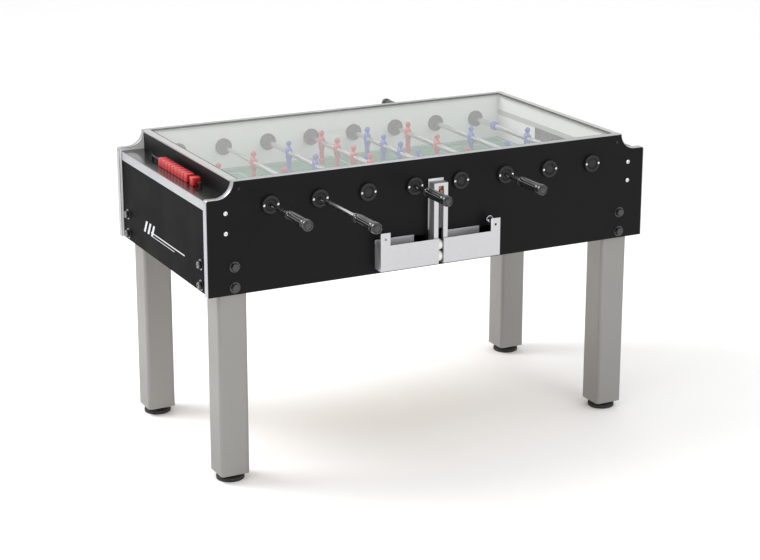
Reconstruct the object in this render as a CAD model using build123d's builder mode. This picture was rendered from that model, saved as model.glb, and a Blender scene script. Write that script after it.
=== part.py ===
"""Coin-operated foosball table with telescopic rods and a glass top.

Frame: millimetres, +Z up, X along the field from the left goal to the right goal,
Y from the front side panel to the rear one, origin on the floor at the table's centre.
"""
import os
from math import sqrt

from build123d import *

os.makedirs("parts", exist_ok=True)

# ---- overall sizes ----
cabinet_length = 1430.0
cabinet_width = 716.0
panel_bottom_z = 566.0
cabinet_top_z = 890.0

# ---- boards ----
side_thickness = 20.0
end_thickness = 30.0
end_recess = 8.0
goal_wall_thickness = 20.0
shelf_depth = 73.0
field_thickness = 10.0
shelf_thickness = 26.0
trim_thickness = 2.0
scoop_radius = 47.0
shelf_drop = 9.0
shoulder_radius = 8.0

# ---- glass ----
glass_thickness = 5.0
glass_gap = 3.0
rail_height = 6.0
ledge_width = 7.0
ledge_thickness = 3.0
glass_recess = 1.0

# ---- rods ----
rod_count = 8
goal_to_rod = 89.0
rod_drop = 78.0
tube_radius = 8.0
bar_radius = 5.5
bar_head_radius = 9.0
bar_head_length = 4.0
running_clearance = 0.05
stop_gap = 1.0
handle_length = 124.0
handle_radius = 14.5
handle_cap_radius = 16.0
handle_end_wall = 8.0
handle_gap = 12.0
neck_ring_radius = 11.0
neck_ring_length = 5.0
collar_radius = 14.0
collar_length = 16.0
collar_offset = 204.0
head_play = 0.5
bar_end_gap = 8.0
handle_cap_length = 14.0
cap_chamfer = 2.5

# ---- bushings ----
bushing_radius = 26.0
inner_flange_thickness = 8.0
outer_flange_thickness = 10.0
sleeve_radius = 14.0
sleeve_gap = 0.3
flange_gap = 0.02
bushing_screw_offset = 21.0
bushing_screw_radius = 3.5
bushing_screw_head = 1.6

# ---- players ----
player_above_axis = 36.5
player_below_axis = 67.0
player_width = 34.0
player_depth = 24.0
player_field_gap = 4.0
head_radius = 10.0
neck_overlap = 4.0
foot_height = 14.0
chest_rise = 2.0
waist_drop = 18.0
foot_depth_share = 0.85
foot_width_share = 0.65

# each rod: handled side (-1 front, +1 rear), spacing of its players, where its tube rests
rods = [
    {"side": -1, "players": 1, "spacing": 0.0, "rest": 14.0},
    {"side": -1, "players": 2, "spacing": 223.0, "rest": -9.0},
    {"side": 1, "players": 3, "spacing": 193.0, "rest": -16.0},
    {"side": -1, "players": 5, "spacing": 113.0, "rest": 33.0},
    {"side": 1, "players": 5, "spacing": 113.0, "rest": 12.0},
    {"side": -1, "players": 3, "spacing": 193.0, "rest": 53.0},
    {"side": 1, "players": 2, "spacing": 223.0, "rest": -9.0},
    {"side": 1, "players": 1, "spacing": 0.0, "rest": 6.0},
]

# ---- goals and ball return ----
goal_width = 210.0
goal_height = 78.0
goal_wall_foot = 32.0
goal_box_wall = 4.0
goal_box_drop = 24.0
return_thickness = 8.0
return_rise = 46.0
return_leg_gap = 4.0
goal_box_gap = 2.0
goal_box_lap = 20.0
ball_radius = 16.5

# ---- legs and feet ----
leg_size = 88.0
leg_corner_radius = 10.0
leg_wall = 3.0
leg_rise = 104.0
leg_bottom_plate = 8.0
leg_top_plate = 3.0
foot_radius = 41.0
foot_thickness = 12.0
foot_chamfer = 3.0
locknut_radius = 25.0
locknut_gap = 1.0
locknut_thickness = 9.0
stud_radius = 6.0
stud_reach = 30.0
leg_bolt_radius = 12.0
leg_bolt_head = 9.0
leg_bolt_shank_radius = 5.0
leg_bolt_reach = 6.0
bolt_clearance = 0.3
leg_washer_radius = 16.0
leg_washer_thickness = 2.0
washer_gap = 0.02
leg_bolt_rises = (20.5, 80.0)

# ---- panel screws ----
panel_screw_inset = 57.0
panel_screw_drops = (146.0, 88.5)
panel_screw_radius = 7.0
panel_screw_head = 4.0
rail_screw_inset = 17.0
rail_screw_drop = 24.0
rail_screw_radius = 4.5

# ---- coin unit and ball trays ----
unit_x = -5.5
channel_wall = 2.5
channel_side_play = 3.5
channel_drop = 70.5
channel_bridge = 9.0
ball_slot_reach = 1.8
slot_play = 0.5
back_plate_width = 50.0
back_plate_rise = 7.0
tray_reach = 196.0
tray_front_gap = 4.0
tray_lift = 15.0
tray_front_height = 75.0
tray_back_height = 86.0
tray_wall = 2.0
tray_channel_gap = 1.0
ear_width = 31.0
ear_rise = 38.0
ear_hole_radius = 3.5
outlet_width = 40.0
outlet_height = 80.0
outlet_margin = 8.0
slide_side_play = 3.0
slide_thickness = 8.0
slide_height = 46.0
slide_knob_width = 12.0
slide_knob_reach = 9.0
slide_play = 0.4
back_plate_height = 150.0
keyway_width = 3.0
keyway_height = 9.0
keyway_depth = 6.0
ball_lift = 0.3
lock_radius = 11.0
lock_length = 16.0
lock_rise = 30.0
lock_inset = 22.0

# ---- score counter ----
bead_length = 25.0
bead_width = 24.0
bead_pitch = 25.5
bead_chamfer = 2.5
beads_together = 9
bead_gap = 20.0
score_rod_radius = 3.0
score_rod_half = 190.0
score_far_play = 79.5
bead_lift = 1.0
post_radius = 4.0
score_rod_inset = 8.0

# ---- derived places ----
half_length = cabinet_length / 2
half_width = cabinet_width / 2
inner_half_width = half_width - side_thickness
end_outer = half_length - end_recess
end_inner = end_outer - end_thickness
goal_wall_outer = end_outer - shelf_depth
goal_wall_inner = goal_wall_outer - goal_wall_thickness
rod_pitch = 2 * (goal_wall_inner - goal_to_rod) / (rod_count - 1)
shoulder_z = cabinet_top_z - scoop_radius
shelf_top_z = shoulder_z - shelf_drop
shelf_bottom_z = shelf_top_z - shelf_thickness
scoop_center_x = goal_wall_outer + scoop_radius
rod_z = cabinet_top_z - rod_drop
field_top_z = rod_z - player_below_axis - player_field_gap
field_bottom_z = field_top_z - field_thickness
glass_bottom_z = cabinet_top_z - glass_recess - glass_thickness
goal_wall_top_z = cabinet_top_z - rail_height
leg_x = end_inner - leg_size / 2
leg_y = inner_half_width - leg_size / 2
leg_bottom_z = foot_thickness + locknut_gap + locknut_thickness
leg_top_z = panel_bottom_z + leg_rise
leg_bolt_heights = [panel_bottom_z + rise for rise in leg_bolt_rises]
panel_screw_heights = [cabinet_top_z - drop for drop in panel_screw_drops]
channel_top_z = cabinet_top_z - channel_drop
tray_bottom_z = panel_bottom_z + tray_lift
unit_face_y = -half_width
channel_width = 2 * (ball_radius + channel_side_play + channel_wall)
channel_depth = 2 * ball_radius + ball_lift + channel_wall - ball_slot_reach
ball_slot_chord = 2 * sqrt(ball_radius**2 - (ball_radius - ball_slot_reach) ** 2)
channel_slot = ball_slot_chord + 2 * slot_play
slide_width = channel_width - 2 * (channel_wall + slide_side_play)
tray_depth = channel_depth + tray_front_gap
tray_front_y = unit_face_y - tray_depth
score_rod_z = shelf_top_z + bead_lift + bead_width / 2
score_rod_x = (goal_wall_outer + end_outer) / 2 - score_rod_inset
stop_face = inner_half_width - inner_flange_thickness


def rod_x(index):
    return (index - (rod_count - 1) / 2) * rod_pitch


def player_offsets(rod):
    first = -(rod["players"] - 1) / 2
    return [(first + n) * rod["spacing"] for n in range(rod["players"])]


def outer_reach(rod):
    """Distance from the middle of the tube's players to the face that meets the flange."""
    if rod["players"] == 1:
        return collar_offset + collar_length / 2
    return player_offsets(rod)[-1] + player_width / 2


def travel(rod):
    return stop_face - outer_reach(rod) - stop_gap


def handle_start(rod):
    return half_width + outer_flange_thickness + travel(rod) + handle_gap


def save(part, name):
    part.label = name
    export_step(part, f"parts/{name}.step")


def side_outline(inset):
    """Outline of a side panel in X and Z, moved inwards by inset except along its foot."""
    radius = scoop_radius + inset
    raised_x = scoop_center_x - sqrt(radius**2 - inset**2)
    middle = radius * sqrt(0.5)
    corner_x = half_length - shoulder_radius
    corner_z = shoulder_z - shoulder_radius
    corner = (shoulder_radius - inset) * sqrt(0.5)
    with BuildLine() as outline:
        for sign in (-1, 1):
            foot = (sign * (half_length - inset), panel_bottom_z)
            side = (sign * (half_length - inset), corner_z)
            flat = (sign * corner_x, shoulder_z - inset)
            scoop = (sign * scoop_center_x, shoulder_z - inset)
            raised = (sign * raised_x, cabinet_top_z - inset)
            Line(foot, side)
            ThreePointArc(side, (sign * (corner_x + corner), corner_z + corner), flat)
            Line(flat, scoop)
            hollow = (sign * (scoop_center_x - middle), cabinet_top_z - middle)
            ThreePointArc(scoop, hollow, raised)
        Line((-raised_x, cabinet_top_z - inset), (raised_x, cabinet_top_z - inset))
        Line((inset - half_length, panel_bottom_z), (half_length - inset, panel_bottom_z))
    return outline.edges()


def bolt_faces():
    """Outer faces that leg bolts pass through: plane, places on it and board thickness."""
    faces = []
    for sign in (-1, 1):
        side_plane = Plane((0, sign * half_width, 0), x_dir=(-sign, 0, 0), z_dir=(0, sign, 0))
        end_plane = Plane((sign * end_outer, 0, 0), x_dir=(0, sign, 0), z_dir=(sign, 0, 0))
        side_spots = [(sx * leg_x, z) for sx in (-1, 1) for z in leg_bolt_heights]
        end_spots = [(sy * leg_y, z) for sy in (-1, 1) for z in leg_bolt_heights]
        faces.append({"plane": side_plane, "spots": side_spots, "board": side_thickness})
        faces.append({"plane": end_plane, "spots": end_spots, "board": end_thickness})
    return faces


def cut_bolt_holes():
    """Cut the leg bolts' clearance holes through the part being built."""
    for face in bolt_faces():
        with BuildSketch(face["plane"]) as holes:
            with Locations(face["spots"]):
                Circle(leg_bolt_shank_radius + bolt_clearance)
        depth = face["board"] + leg_wall + leg_bolt_reach
        extrude(holes.sketch, amount=-depth, mode=Mode.SUBTRACT)


def outlet_centers():
    """Middle of the ball outlet of each tray, along X."""
    left = unit_x - channel_width / 2 - outlet_margin - outlet_width / 2
    right = unit_x + tray_reach - tray_wall - outlet_margin - outlet_width / 2
    return (left, right)


outlet_z = tray_bottom_z + tray_wall + outlet_height / 2

# ---- side panels: boards with rod holes, and ball outlets at the front ----
for name, side in (("side_panel_front", -1), ("side_panel_rear", 1)):
    outer_y = half_width if side > 0 else -inner_half_width
    with BuildPart() as side_panel:
        with BuildSketch(Plane.XZ.offset(-outer_y)):
            make_face(side_outline(trim_thickness))
        extrude(amount=side_thickness)
        with BuildSketch(Plane.XZ.offset(-outer_y)):
            with Locations([(rod_x(n), rod_z) for n in range(rod_count)]):
                Circle(sleeve_radius + sleeve_gap)
            if side < 0:
                with Locations([(x, outlet_z) for x in outlet_centers()]):
                    Rectangle(outlet_width, outlet_height)
        extrude(amount=side_thickness, mode=Mode.SUBTRACT)
        cut_bolt_holes()
    save(side_panel.part, name)

# ---- edge trims: a strip round each side panel and one along each shelf ----
with BuildPart() as edge_trims:
    for outer_y in (half_width, -inner_half_width):
        with BuildSketch(Plane.XZ.offset(-outer_y)):
            make_face(side_outline(0.0))
        extrude(amount=side_thickness)
        with BuildSketch(Plane.XZ.offset(-outer_y)):
            make_face(side_outline(trim_thickness))
        extrude(amount=side_thickness, mode=Mode.SUBTRACT)
    with Locations(
        [
            (sign * (end_outer + trim_thickness / 2), 0, (shelf_top_z + shelf_bottom_z) / 2)
            for sign in (-1, 1)
        ]
    ):
        Box(trim_thickness, 2 * inner_half_width, shelf_thickness)
save(edge_trims.part, "edge_trims")

# ---- end panels, shelves and goal walls ----
with BuildPart() as end_panels:
    with Locations([(sign * (end_outer + end_inner) / 2, 0, panel_bottom_z) for sign in (-1, 1)]):
        Box(
            end_thickness,
            2 * inner_half_width,
            shelf_bottom_z - panel_bottom_z,
            align=(Align.CENTER, Align.CENTER, Align.MIN),
        )
    cut_bolt_holes()
save(end_panels.part, "end_panels")

with BuildPart() as end_shelves:
    with Locations(
        [(sign * (end_outer + goal_wall_outer) / 2, 0, shelf_bottom_z) for sign in (-1, 1)]
    ):
        Box(
            end_outer - goal_wall_outer,
            2 * inner_half_width,
            shelf_thickness,
            align=(Align.CENTER, Align.CENTER, Align.MIN),
        )
save(end_shelves.part, "end_shelves")

goal_wall_bottom_z = field_bottom_z - goal_wall_foot
with BuildPart() as goal_walls:
    for sign in (-1, 1):
        wall_x = sign * (goal_wall_inner + goal_wall_outer) / 2
        with Locations((wall_x, 0, goal_wall_bottom_z)):
            Box(
                goal_wall_thickness,
                2 * inner_half_width,
                goal_wall_top_z - goal_wall_bottom_z,
                align=(Align.CENTER, Align.CENTER, Align.MIN),
            )
        with Locations((wall_x, 0, field_top_z)):
            Box(
                goal_wall_thickness,
                goal_width,
                goal_height,
                align=(Align.CENTER, Align.CENTER, Align.MIN),
                mode=Mode.SUBTRACT,
            )
        with Locations((wall_x, 0, goal_wall_bottom_z)):
            Box(
                goal_wall_thickness,
                goal_width,
                field_bottom_z - goal_wall_bottom_z,
                align=(Align.CENTER, Align.CENTER, Align.MIN),
                mode=Mode.SUBTRACT,
            )
save(goal_walls.part, "goal_walls")

# ---- field board ----
with BuildPart() as playfield:
    with Locations((0, 0, field_bottom_z)):
        Box(
            2 * goal_wall_inner,
            2 * inner_half_width,
            field_thickness,
            align=(Align.CENTER, Align.CENTER, Align.MIN),
        )
save(playfield.part, "playfield")

# ---- ball return: a sloping board under the field and a box behind each goal ----
return_half = leg_x - leg_size / 2 - return_leg_gap
return_front_z = tray_bottom_z + tray_wall
goal_box_top_z = field_bottom_z - goal_wall_foot - goal_box_gap
with BuildPart() as ball_return:
    with BuildSketch(Plane.YZ.offset(-return_half)):
        with BuildLine():
            Polyline(
                (-inner_half_width, return_front_z),
                (inner_half_width, return_front_z + return_rise),
                (inner_half_width, return_front_z + return_rise - return_thickness),
                (-inner_half_width, return_front_z - return_thickness),
                close=True,
            )
        make_face()
    extrude(amount=2 * return_half)
    for sign in (-1, 1):
        outer_x = sign * end_inner
        inner_x = sign * (return_half - goal_box_lap)
        with BuildSketch(Plane.XZ.offset(-goal_width / 2 - goal_box_wall)):
            with BuildLine():
                Polyline(
                    (outer_x, goal_box_top_z),
                    (outer_x, goal_box_top_z - goal_box_wall),
                    (inner_x, goal_box_top_z - goal_box_wall - goal_box_drop),
                    (inner_x, goal_box_top_z - goal_box_drop),
                    close=True,
                )
            make_face()
        extrude(amount=goal_width + 2 * goal_box_wall)
        for cheek in (-goal_width / 2, goal_width / 2 + goal_box_wall):
            with BuildSketch(Plane.XZ.offset(-cheek)):
                with BuildLine():
                    Polyline(
                        (outer_x, goal_box_top_z),
                        (outer_x, shelf_bottom_z),
                        (sign * goal_wall_outer, shelf_bottom_z),
                        (sign * goal_wall_outer, goal_wall_bottom_z),
                        (inner_x, goal_wall_bottom_z),
                        (inner_x, goal_box_top_z - goal_box_drop),
                        close=True,
                    )
                make_face()
            extrude(amount=goal_box_wall)
save(ball_return.part, "ball_return")

# ---- glass and its rails ----
glass_half_x = goal_wall_inner - glass_gap
glass_half_y = inner_half_width - glass_gap
with BuildPart() as glass_top:
    with Locations((0, 0, glass_bottom_z)):
        Box(
            2 * glass_half_x,
            2 * glass_half_y,
            glass_thickness,
            align=(Align.CENTER, Align.CENTER, Align.MIN),
        )
save(glass_top.part, "glass_top")

with BuildPart() as glass_rails:
    for sign in (-1, 1):
        with Locations((sign * (goal_wall_inner + goal_wall_outer) / 2, 0, goal_wall_top_z)):
            Box(
                goal_wall_thickness,
                2 * inner_half_width,
                rail_height,
                align=(Align.CENTER, Align.CENTER, Align.MIN),
            )
        with Locations((0, sign * (inner_half_width - ledge_width / 2), glass_bottom_z)):
            Box(
                2 * goal_wall_inner,
                ledge_width,
                ledge_thickness,
                align=(Align.CENTER, Align.CENTER, Align.MAX),
            )
        with Locations((sign * (goal_wall_inner - ledge_width / 2), 0, glass_bottom_z)):
            Box(
                ledge_width,
                2 * (inner_half_width - ledge_width),
                ledge_thickness,
                align=(Align.CENTER, Align.CENTER, Align.MAX),
            )
save(glass_rails.part, "glass_rails")

# ---- legs: square tubes with a plate at each end ----
leg_places = [(sx * leg_x, sy * leg_y) for sx in (-1, 1) for sy in (-1, 1)]
with BuildPart() as legs:
    with BuildSketch(Plane.XY.offset(leg_bottom_z)):
        with Locations(leg_places):
            RectangleRounded(leg_size, leg_size, leg_corner_radius)
    extrude(amount=leg_top_z - leg_bottom_z)
    with BuildSketch(Plane.XY.offset(leg_bottom_z + leg_bottom_plate)):
        with Locations(leg_places):
            RectangleRounded(
                leg_size - 2 * leg_wall,
                leg_size - 2 * leg_wall,
                leg_corner_radius - leg_wall,
            )
    extrude(
        amount=leg_top_z - leg_bottom_z - leg_bottom_plate - leg_top_plate,
        mode=Mode.SUBTRACT,
    )
    with BuildSketch(Plane.XY.offset(leg_bottom_z)):
        with Locations(leg_places):
            Circle(stud_radius + running_clearance)
    extrude(amount=leg_bottom_plate, mode=Mode.SUBTRACT)
    cut_bolt_holes()
save(legs.part, "legs")

# ---- levelling feet: a round pad on a threaded stud, one body each ----
foot_names = {(-1, -1): "foot_front_left", (-1, 1): "foot_rear_left"}
foot_names.update({(1, -1): "foot_front_right", (1, 1): "foot_rear_right"})
for (sx, sy), name in foot_names.items():
    with BuildPart() as foot:
        with BuildSketch(Plane.XY):
            with Locations((sx * leg_x, sy * leg_y)):
                Circle(foot_radius)
        extrude(amount=foot_thickness)
        chamfer(foot.edges().filter_by(GeomType.CIRCLE).sort_by(Axis.Z)[-1], foot_chamfer)
        with BuildSketch(Plane.XY.offset(foot_thickness)):
            with Locations((sx * leg_x, sy * leg_y)):
                Circle(stud_radius)
        extrude(amount=leg_bottom_z + stud_reach - foot_thickness)
    save(foot.part, name)

# ---- leg fasteners: lobed bolts on washers through the boards, and a locknut on each stud ----
with BuildPart() as leg_fasteners:
    with BuildSketch(Plane.XY.offset(foot_thickness + locknut_gap)):
        with Locations(leg_places):
            Circle(locknut_radius)
        with Locations(leg_places):
            Circle(stud_radius + running_clearance, mode=Mode.SUBTRACT)
    extrude(amount=locknut_thickness)
    for face in bolt_faces():
        with BuildSketch(face["plane"]):
            with Locations(face["spots"]):
                Circle(leg_washer_radius)
                Circle(leg_bolt_shank_radius + bolt_clearance, mode=Mode.SUBTRACT)
        extrude(amount=leg_washer_thickness)
        with BuildSketch(face["plane"].offset(leg_washer_thickness + washer_gap)):
            with Locations(face["spots"]):
                Circle(leg_bolt_radius)
        extrude(amount=leg_bolt_head)
        with BuildSketch(face["plane"].offset(leg_washer_thickness + washer_gap)):
            with Locations(face["spots"]):
                Circle(leg_bolt_shank_radius)
        extrude(amount=-(face["board"] + leg_wall + leg_bolt_reach + washer_gap))
save(leg_fasteners.part, "leg_fasteners")

# ---- panel screws: at the panel corners, under the glass and on each rod flange ----
with BuildPart() as panel_screws:
    for sign in (-1, 1):
        face = Plane((0, sign * half_width, 0), x_dir=(-sign, 0, 0), z_dir=(0, sign, 0))
        corner_x = half_length - panel_screw_inset
        rail_x = goal_wall_outer - rail_screw_inset
        with BuildSketch(face):
            with Locations([(sx * corner_x, z) for sx in (-1, 1) for z in panel_screw_heights]):
                RegularPolygon(panel_screw_radius, 6)
        extrude(amount=panel_screw_head)
        with BuildSketch(face):
            with Locations([(sx * rail_x, cabinet_top_z - rail_screw_drop) for sx in (-1, 1)]):
                Circle(rail_screw_radius)
        extrude(amount=bushing_screw_head)
        with BuildSketch(face.offset(outer_flange_thickness)):
            for index in range(rod_count):
                for offset in (-bushing_screw_offset, bushing_screw_offset):
                    with Locations((rod_x(index) + offset, rod_z)):
                        Circle(bushing_screw_radius)
        extrude(amount=bushing_screw_head)
save(panel_screws.part, "panel_screws")

# ---- rod bushings: a flanged sleeve from inside and a round flange outside each hole ----
with BuildPart() as rod_bushings:
    for index, rod in enumerate(rods):
        for side in (-1, 1):
            handled = rod["side"] == side
            bore = (tube_radius if handled else bar_radius) + running_clearance
            inner = Plane(
                (rod_x(index), side * stop_face, rod_z), x_dir=(-side, 0, 0), z_dir=(0, side, 0)
            )
            with BuildSketch(inner):
                Circle(bushing_radius)
            extrude(amount=inner_flange_thickness)
            with BuildSketch(inner):
                Circle(sleeve_radius)
            extrude(amount=inner_flange_thickness + side_thickness)
            with BuildSketch(inner):
                Circle(bore)
            extrude(amount=inner_flange_thickness + side_thickness, mode=Mode.SUBTRACT)
            if not handled:
                pocket = bar_head_length + 2 * head_play
                with BuildSketch(inner.offset(inner_flange_thickness + side_thickness)):
                    Circle(bar_head_radius + head_play)
                extrude(amount=-pocket, mode=Mode.SUBTRACT)
            with BuildSketch(inner.offset(inner_flange_thickness + side_thickness + flange_gap)):
                Circle(bushing_radius)
                if handled:
                    Circle(bore, mode=Mode.SUBTRACT)
            extrude(amount=outer_flange_thickness - flange_gap)
save(rod_bushings.part, "rod_bushings")


# ---- rods: bar, sliding tube, players and handle ----
# each section: height above the axis, share of the depth, share of the width
torso_sections = (
    (player_above_axis - 2 * head_radius + neck_overlap, 0.75, 0.8),
    (chest_rise, 1.0, 1.0),
    (-waist_drop, 0.8, 0.7),
    (foot_height - player_below_axis, 0.55, 0.5),
)

for index, rod in enumerate(rods):
    number = index + 1
    side = rod["side"]
    x = rod_x(index)
    middle = rod["rest"]
    reach = outer_reach(rod)
    along = Plane((x, middle, rod_z), x_dir=(-side, 0, 0), z_dir=(0, side, 0))
    outwards = Axis((x, 0, rod_z), (0, side, 0))
    start = handle_start(rod)
    tube_start = -reach
    tube_end = start + handle_length - handle_end_wall

    # solid bar, held by its head in the bushing of the side away from the handle
    bar_plane = Plane((x, 0, rod_z), x_dir=(-side, 0, 0), z_dir=(0, side, 0))
    head_face = half_width - head_play
    with BuildPart() as bar:
        with BuildSketch(bar_plane.offset(-head_face)):
            Circle(bar_head_radius)
        extrude(amount=bar_head_length)
        with BuildSketch(bar_plane.offset(-head_face)):
            Circle(bar_radius)
        extrude(amount=head_face + inner_half_width - bar_end_gap)
    save(bar.part, f"rod_{number}_bar")

    # hollow tube that slides and turns on the bar, with a neck ring at the handle
    with BuildPart() as tube:
        with BuildSketch(along.offset(tube_start)):
            Circle(tube_radius)
        extrude(amount=tube_end - tube_start)
        with BuildSketch(along.offset(start - neck_ring_length)):
            Circle(neck_ring_radius)
        extrude(amount=neck_ring_length)
        with BuildSketch(along.offset(tube_start)):
            Circle(bar_radius + running_clearance)
        extrude(amount=tube_end - tube_start, mode=Mode.SUBTRACT)
    save(tube.part, f"rod_{number}_tube")

    # players: head, tapering body and foot, bored for the tube; stop rings on one-player rods
    with BuildPart() as players:
        for offset in player_offsets(rod):
            y = middle + side * offset
            for z, depth_share, width_share in torso_sections:
                with BuildSketch(Plane.XY.offset(rod_z + z)):
                    with Locations((x, y)):
                        Rectangle(player_depth * depth_share, player_width * width_share)
            loft(ruled=True)
            with Locations((x, y, rod_z - player_below_axis)):
                Box(
                    player_depth * foot_depth_share,
                    player_width * foot_width_share,
                    foot_height,
                    align=(Align.CENTER, Align.CENTER, Align.MIN),
                )
            with Locations((x, y, rod_z + player_above_axis - head_radius)):
                Sphere(head_radius)
        if rod["players"] == 1:
            for ring_offset in (-collar_offset, collar_offset):
                with BuildSketch(along.offset(ring_offset - collar_length / 2)):
                    Circle(collar_radius)
                extrude(amount=collar_length)
        with BuildSketch(along.offset(-reach)):
            Circle(tube_radius)
        extrude(amount=2 * reach, mode=Mode.SUBTRACT)
    save(players.part, f"rod_{number}_players")

    # handle: a grip with a wider end cap, pressed on the tube
    with BuildPart() as handle:
        with BuildSketch(along.offset(start)):
            Circle(handle_radius)
        extrude(amount=handle_length - handle_cap_length)
        with BuildSketch(along.offset(start + handle_length - handle_cap_length)):
            Circle(handle_cap_radius)
        extrude(amount=handle_cap_length)
        chamfer(handle.edges().filter_by(GeomType.CIRCLE).sort_by(outwards)[-1], cap_chamfer)
        with BuildSketch(along.offset(start)):
            Circle(tube_radius)
        extrude(amount=handle_length - handle_end_wall, mode=Mode.SUBTRACT)
    save(handle.part, f"rod_{number}_handle")

# ---- coin unit: an upright channel with a front slot, on a back plate ----
back_plate = channel_wall
tray_floor_z = tray_bottom_z + tray_wall
with BuildPart() as coin_channel:
    with BuildSketch(Plane.XY.offset(tray_floor_z)):
        with Locations((unit_x, unit_face_y)):
            Rectangle(channel_width, channel_depth, align=(Align.CENTER, Align.MAX))
            Rectangle(
                channel_width - 2 * channel_wall,
                channel_depth - channel_wall,
                align=(Align.CENTER, Align.MAX),
                mode=Mode.SUBTRACT,
            )
    extrude(amount=channel_top_z - tray_floor_z)
    with BuildSketch(Plane.XY.offset(tray_floor_z)):
        with Locations((unit_x, unit_face_y - channel_depth + channel_wall / 2)):
            Rectangle(channel_slot, channel_wall)
    extrude(amount=channel_top_z - channel_bridge - tray_floor_z, mode=Mode.SUBTRACT)
    with BuildSketch(Plane.XY.offset(channel_top_z - channel_wall)):
        with Locations((unit_x, unit_face_y - channel_depth / 2)):
            Rectangle(channel_width, channel_depth)
    extrude(amount=channel_wall)
    with BuildSketch(Plane.XZ.offset(-unit_face_y)):
        with Locations((unit_x, channel_top_z + back_plate_rise)):
            Rectangle(back_plate_width, back_plate_height, align=(Align.CENTER, Align.MAX))
    extrude(amount=back_plate)
save(coin_channel.part, "coin_channel")

# ---- release slide: a block inside the channel with a tab in the slot ----
slide_top_z = channel_top_z - channel_wall - slide_play
slide_front_y = unit_face_y - channel_depth + channel_wall + slide_play
with BuildPart() as release_slide:
    with Locations((unit_x, slide_front_y, slide_top_z)):
        Box(
            slide_width,
            slide_thickness,
            slide_height,
            align=(Align.CENTER, Align.MIN, Align.MAX),
        )
    with Locations((unit_x, slide_front_y, slide_top_z - slide_height / 2)):
        Box(
            slide_knob_width,
            slide_knob_reach,
            slide_knob_width,
            align=(Align.CENTER, Align.MAX, Align.CENTER),
        )
save(release_slide.part, "release_slide")

# ---- ball trays: folded sheet with an ear, the back stopping short of the outlet ----
tray_inner = channel_slot / 2
with BuildPart() as ball_trays:
    for sign, outlet in zip((-1, 1), outlet_centers()):
        inner_x = unit_x + sign * tray_inner
        outer_x = unit_x + sign * tray_reach
        back_x = unit_x + back_plate_width / 2 + tray_channel_gap
        back_start = back_x if sign > 0 else outer_x
        with BuildSketch(Plane.XZ.offset(-tray_front_y - tray_wall)):
            with BuildLine():
                ear_x = outer_x - sign * ear_width
                top_z = tray_bottom_z + tray_front_height
                Polyline(
                    (inner_x, tray_bottom_z),
                    (outer_x, tray_bottom_z),
                    (outer_x, top_z + ear_rise),
                    (ear_x, top_z + ear_rise),
                    (ear_x, top_z),
                    (inner_x, top_z),
                    close=True,
                )
            make_face()
            with Locations(((outer_x + ear_x) / 2, top_z + ear_rise / 2)):
                Circle(ear_hole_radius, mode=Mode.SUBTRACT)
        extrude(amount=tray_wall)
        with BuildSketch(Plane.XZ.offset(-unit_face_y)):
            with BuildLine():
                Polyline(
                    (back_start, tray_bottom_z),
                    (outlet - outlet_width / 2, tray_bottom_z),
                    (outlet - outlet_width / 2, tray_bottom_z + tray_back_height),
                    (back_start, tray_bottom_z + tray_back_height),
                    close=True,
                )
            make_face()
        extrude(amount=tray_wall)
        with BuildSketch(Plane.XY.offset(tray_bottom_z)):
            with BuildLine():
                Polyline(
                    (inner_x, tray_front_y),
                    (outer_x, tray_front_y),
                    (outer_x, unit_face_y),
                    (inner_x, unit_face_y),
                    close=True,
                )
            make_face()
        extrude(amount=tray_wall)
        with Locations((outer_x, tray_front_y, tray_bottom_z)):
            Box(
                tray_wall,
                tray_depth,
                tray_front_height,
                align=(Align.MAX if sign > 0 else Align.MIN, Align.MIN, Align.MIN),
            )
save(ball_trays.part, "ball_trays")

# ---- tray lock: a barrel on the panel behind the right tray's ear ----
lock_x = unit_x + tray_reach - lock_inset
lock_z = tray_bottom_z + tray_front_height + lock_rise
with BuildPart() as tray_lock:
    with BuildSketch(Plane.XZ.offset(-unit_face_y)):
        with Locations((lock_x, lock_z)):
            Circle(lock_radius)
    extrude(amount=lock_length)
    with BuildSketch(Plane.XZ.offset(-unit_face_y + lock_length)):
        with Locations((lock_x, lock_z)):
            Rectangle(keyway_width, keyway_height)
    extrude(amount=-keyway_depth, mode=Mode.SUBTRACT)
save(tray_lock.part, "tray_lock")

# ---- game balls: two waiting one above the other in the channel ----
ball_rest_z = tray_floor_z + ball_radius + ball_lift
ball_y = unit_face_y - ball_radius - ball_lift
with BuildPart() as game_balls:
    for level in range(2):
        with Locations((unit_x, ball_y, ball_rest_z + level * 2 * (ball_radius + ball_lift))):
            Sphere(ball_radius)
save(game_balls.part, "game_balls")

# ---- score counters: a rod on two posts over each shelf, ten beads on it ----
with BuildPart() as score_rods:
    for sign in (-1, 1):
        x = sign * score_rod_x
        rod_face = Plane((x, score_rod_half, score_rod_z), x_dir=(1, 0, 0), z_dir=(0, -1, 0))
        with BuildSketch(rod_face):
            Circle(score_rod_radius)
        extrude(amount=2 * score_rod_half)
        with BuildSketch(Plane.XY.offset(shelf_top_z)):
            with Locations([(x, end * score_rod_half) for end in (-1, 1)]):
                Circle(post_radius)
        extrude(amount=score_rod_z + post_radius - shelf_top_z)
save(score_rods.part, "score_rods")

stack_start = score_rod_half - score_far_play
single_start = stack_start - beads_together * bead_pitch - bead_gap
with BuildPart() as bead:
    Box(bead_width, bead_length, bead_width)
    chamfer(bead.edges(), bead_chamfer)
    Cylinder(
        score_rod_radius + running_clearance,
        bead_length,
        rotation=(90, 0, 0),
        mode=Mode.SUBTRACT,
    )

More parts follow.
